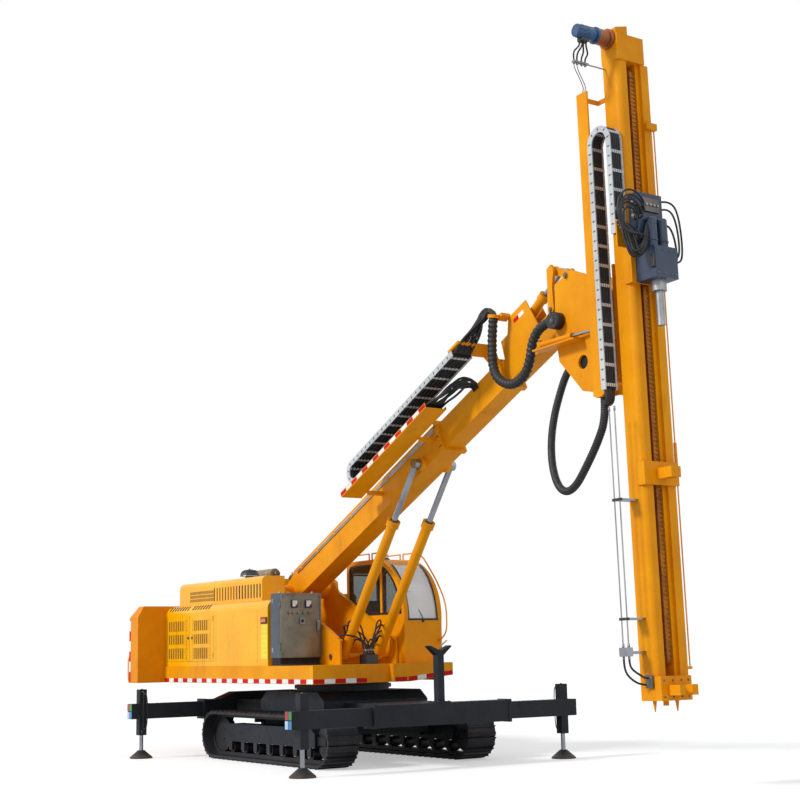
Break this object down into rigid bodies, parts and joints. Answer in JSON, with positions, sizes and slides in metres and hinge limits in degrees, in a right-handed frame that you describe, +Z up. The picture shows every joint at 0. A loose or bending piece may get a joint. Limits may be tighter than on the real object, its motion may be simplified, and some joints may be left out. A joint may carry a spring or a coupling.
{
  "type": "crawler anchor drilling rig",
  "caption": "Tracked anchor drilling rig with outriggers, slewing platform with cab, telescopic boom and a tall drilling mast with power head.",
  "frame": {"origin": "on the ground, under the middle of the rig's bounding box", "axes": "+X forward towards the mast, +Y to the cab side, +Z up"},
  "size_m": [14.0953, 5.8, 11.0119],
  "materials": {
    "body_yellow": "semi-gloss",
    "charcoal_paint": "satin",
    "track_steel": "worn",
    "bright_steel": "polished",
    "stainless": "brushed",
    "black_parts": "satin",
    "black_trim": "matte",
    "blue_motor": "semi-gloss",
    "grey_head": "semi-gloss"
  },
  "bodies": {
    "carrier": {"carrier_body": "charcoal_paint", "slewing_ring": "track_steel", "boom_rest": "charcoal_paint", "outrigger_beams": "charcoal_paint", "track_frames": "charcoal_paint", "running_gear": "charcoal_paint", "track_right": "track_steel", "track_left": "track_steel"},
    "upper": {"platform": "body_yellow", "boom_support": "body_yellow", "counterweight": "body_yellow", "engine_hood": "body_yellow", "upper_hood": "body_yellow", "engine_block": "black_parts", "air_cleaner": "black_parts", "hydraulic_tank": "body_yellow", "control_cabinet": "stainless", "cab_shell": "body_yellow", "cab_fittings": "black_trim", "cab_guard": "black_parts", "valve_block": "black_parts"},
    "cab_door": {"cab_door": "body_yellow"},
    "cabinet_door": {"cabinet_door": "stainless"},
    "boom_base": {"boom_base": "body_yellow", "boom_tray": "bright_steel"},
    "boom_mid": {"boom_mid": "body_yellow"},
    "boom_chain": {"boom_chain": "black_parts"},
    "boom_tip": {"boom_tip": "body_yellow", "boom_hose": "black_parts"},
    "luff_barrels": {"luff_barrels": "body_yellow"},
    "luff_rods": {"luff_rods": "bright_steel"},
    "tilt_links": {"tilt_links": "body_yellow"},
    "tilt_barrel": {"tilt_barrel": "body_yellow"},
    "tilt_rod": {"tilt_rod": "bright_steel"},
    "mast_head": {"mast_head": "body_yellow"},
    "upper_bars": {"upper_bars": "body_yellow"},
    "swing_barrel": {"swing_barrel": "body_yellow"},
    "swing_rod": {"swing_rod": "bright_steel"},
    "mast_carrier": {"mast_carrier": "body_yellow", "mast_hose": "black_parts"},
    "mast": {"mast_frame": "body_yellow", "feed_chain": "track_steel", "top_housing": "body_yellow", "feed_motor": "blue_motor", "foot_clamp": "body_yellow", "chain_tray": "body_yellow", "mast_pipes": "bright_steel", "guide_rod": "bright_steel"},
    "mast_chain": {"mast_chain": "black_parts"},
    "rod_guide": {"rod_guide": "body_yellow"},
    "power_head": {"power_head": "grey_head"},
    "drill_spindle": {"drill_spindle": "bright_steel"},
    "outrigger_arm_front_right": {"outrigger_arm_front_right": "charcoal_paint"},
    "jack_leg_front_right": {"jack_leg_front_right": "charcoal_paint"},
    "outrigger_arm_rear_right": {"outrigger_arm_rear_right": "charcoal_paint"},
    "jack_leg_rear_right": {"jack_leg_rear_right": "charcoal_paint"},
    "outrigger_arm_front_left": {"outrigger_arm_front_left": "charcoal_paint"},
    "jack_leg_front_left": {"jack_leg_front_left": "charcoal_paint"},
    "outrigger_arm_rear_left": {"outrigger_arm_rear_left": "charcoal_paint"},
    "jack_leg_rear_left": {"jack_leg_rear_left": "charcoal_paint"}
  },
  "joints": [
    {"name": "front_right_arm_slide", "type": "slide", "parent": "carrier", "child": "outrigger_arm_front_right", "axis": [0, -1, 0], "range_m": [-0.75, 0]},
    {"name": "front_right_jack_slide", "type": "slide", "parent": "outrigger_arm_front_right", "child": "jack_leg_front_right", "axis": [0, 0, 1], "range_m": [0, 0.25]},
    {"name": "rear_right_arm_slide", "type": "slide", "parent": "carrier", "child": "outrigger_arm_rear_right", "axis": [0, -1, 0], "range_m": [-0.75, 0]},
    {"name": "rear_right_jack_slide", "type": "slide", "parent": "outrigger_arm_rear_right", "child": "jack_leg_rear_right", "axis": [0, 0, 1], "range_m": [0, 0.25]},
    {"name": "front_left_arm_slide", "type": "slide", "parent": "carrier", "child": "outrigger_arm_front_left", "axis": [0, 1, 0], "range_m": [-0.75, 0]},
    {"name": "front_left_jack_slide", "type": "slide", "parent": "outrigger_arm_front_left", "child": "jack_leg_front_left", "axis": [0, 0, 1], "range_m": [0, 0.25]},
    {"name": "rear_left_arm_slide", "type": "slide", "parent": "carrier", "child": "outrigger_arm_rear_left", "axis": [0, 1, 0], "range_m": [-0.75, 0]},
    {"name": "rear_left_jack_slide", "type": "slide", "parent": "outrigger_arm_rear_left", "child": "jack_leg_rear_left", "axis": [0, 0, 1], "range_m": [0, 0.25]},
    {"name": "slew", "type": "hinge", "parent": "carrier", "child": "upper", "pos_m": [-1.9, 0, 1.38], "axis": [0, 0, 1], "range_deg": [-135, 135]},
    {"name": "cab_door_hinge", "type": "hinge", "parent": "upper", "child": "cab_door", "pos_m": [-1.97, 1.482, 2.5], "axis": [0, 0, 1], "range_deg": [0, 100]},
    {"name": "cabinet_door_hinge", "type": "hinge", "parent": "upper", "child": "cabinet_door", "pos_m": [-1.595, -1.492, 2.4], "axis": [0, 0, -1], "range_deg": [0, 110]},
    {"name": "luff", "type": "hinge", "parent": "upper", "child": "boom_base", "pos_m": [-3.45, 0, 3.1], "axis": [0, -1, 0], "range_deg": [-20, 34]},
    {"name": "luff_barrel_turn", "type": "hinge", "parent": "upper", "child": "luff_barrels", "pos_m": [-1.28, 0, 1.85], "axis": [0, -1, 0], "range_deg": [-22.54, 37.96]},
    {"name": "luff_rod_slide", "type": "slide", "parent": "luff_barrels", "child": "luff_rods", "axis": [0.6073, 0, 0.7945], "range_m": [-0.8941, 1.513]},
    {"name": "boom_mid_slide", "type": "slide", "parent": "boom_base", "child": "boom_mid", "axis": [0.9107, 0, 0.4131], "range_m": [-1.4, 2]},
    {"name": "boom_tip_slide", "type": "slide", "parent": "boom_mid", "child": "boom_tip", "axis": [0.9107, 0, 0.4131], "range_m": [0, 1.6]},
    {"name": "boom_chain_slide", "type": "slide", "parent": "boom_base", "child": "boom_chain", "axis": [0.9107, 0, 0.4131], "range_m": [-0.72, 1.02]},
    {"name": "mast_tilt", "type": "hinge", "parent": "boom_tip", "child": "mast_head", "pos_m": [5.045, 0, 6.78], "axis": [0, -1, 0], "range_deg": [-66, 35], "deforming": ["boom_hose"]},
    {"name": "tilt_link_turn", "type": "hinge", "parent": "boom_tip", "child": "tilt_links", "pos_m": [4.74, 0, 7.04], "axis": [0, -1, 0], "range_deg": [-66.66, 35.35]},
    {"name": "upper_bar_turn", "type": "hinge", "parent": "mast_head", "child": "upper_bars", "pos_m": [5.23, 0, 7.46], "axis": [0, -1, 0], "range_deg": [-26.05, 48.68]},
    {"name": "tilt_barrel_turn", "type": "hinge", "parent": "boom_tip", "child": "tilt_barrel", "pos_m": [3.44678, 0, 6.77756], "axis": [0, -1, 0], "range_deg": [-20.3, 11]},
    {"name": "tilt_rod_slide", "type": "slide", "parent": "tilt_barrel", "child": "tilt_rod", "axis": [0.828, 0, 0.5607], "range_m": [-0.2611, 0.4834]},
    {"name": "mast_swing", "type": "hinge", "parent": "mast_head", "child": "mast_carrier", "pos_m": [5.80773, 0, 6.41576], "axis": [-0.0208, 0, 0.9998], "range_deg": [-15, 15]},
    {"name": "swing_barrel_turn", "type": "hinge", "parent": "mast_head", "child": "swing_barrel", "pos_m": [4.72661, -0.465, 6.45832], "axis": [-0.0208, 0, 0.9998], "range_deg": [-3.2, 3.2]},
    {"name": "swing_rod_slide", "type": "slide", "parent": "swing_barrel", "child": "swing_rod", "axis": [0.9973, 0.0702, 0.0207], "range_m": [-0.1066, 0.1066]},
    {"name": "mast_slide", "type": "slide", "parent": "mast_carrier", "child": "mast", "axis": [0.0208, 0, -0.9998], "range_m": [-0.9, 0.9], "deforming": ["mast_hose"]},
    {"name": "feed", "type": "slide", "parent": "mast", "child": "power_head", "axis": [0.0208, 0, -0.9998], "range_m": [-0.85, 4.3]},
    {"name": "rod_guide_slide", "type": "slide", "parent": "mast", "child": "rod_guide", "axis": [0.0208, 0, -0.9998], "range_m": [-0.43, 2.16]},
    {"name": "mast_chain_slide", "type": "slide", "parent": "mast", "child": "mast_chain", "axis": [0.0208, 0, -0.9998], "range_m": [-0.43, 2.16]},
    {"name": "spindle_turn", "type": "hinge", "parent": "power_head", "child": "drill_spindle", "pos_m": [6.86127, 0, 6.73771], "axis": [-0.0208, 0, 0.9998], "continuous": true}
  ],
  "couplings": [
    {"joint": "luff_barrel_turn", "follows": "luff", "ratio": 1.0802},
    {"joint": "luff_rod_slide", "follows": "luff", "m_per_rad": 2.4831},
    {"joint": "boom_chain_slide", "follows": "boom_mid_slide", "ratio": 0.5},
    {"joint": "tilt_link_turn", "follows": "mast_tilt", "ratio": 1},
    {"joint": "upper_bar_turn", "follows": "mast_tilt", "ratio": -0.73},
    {"joint": "tilt_barrel_turn", "follows": "mast_tilt", "ratio": 0.3},
    {"joint": "tilt_rod_slide", "follows": "mast_tilt", "m_per_rad": -0.411},
    {"joint": "swing_barrel_turn", "follows": "mast_swing", "ratio": 0.17982},
    {"joint": "swing_rod_slide", "follows": "mast_swing", "m_per_rad": 0.38804},
    {"joint": "rod_guide_slide", "follows": "feed", "ratio": 0.5},
    {"joint": "mast_chain_slide", "follows": "feed", "ratio": 0.5}
  ]
}
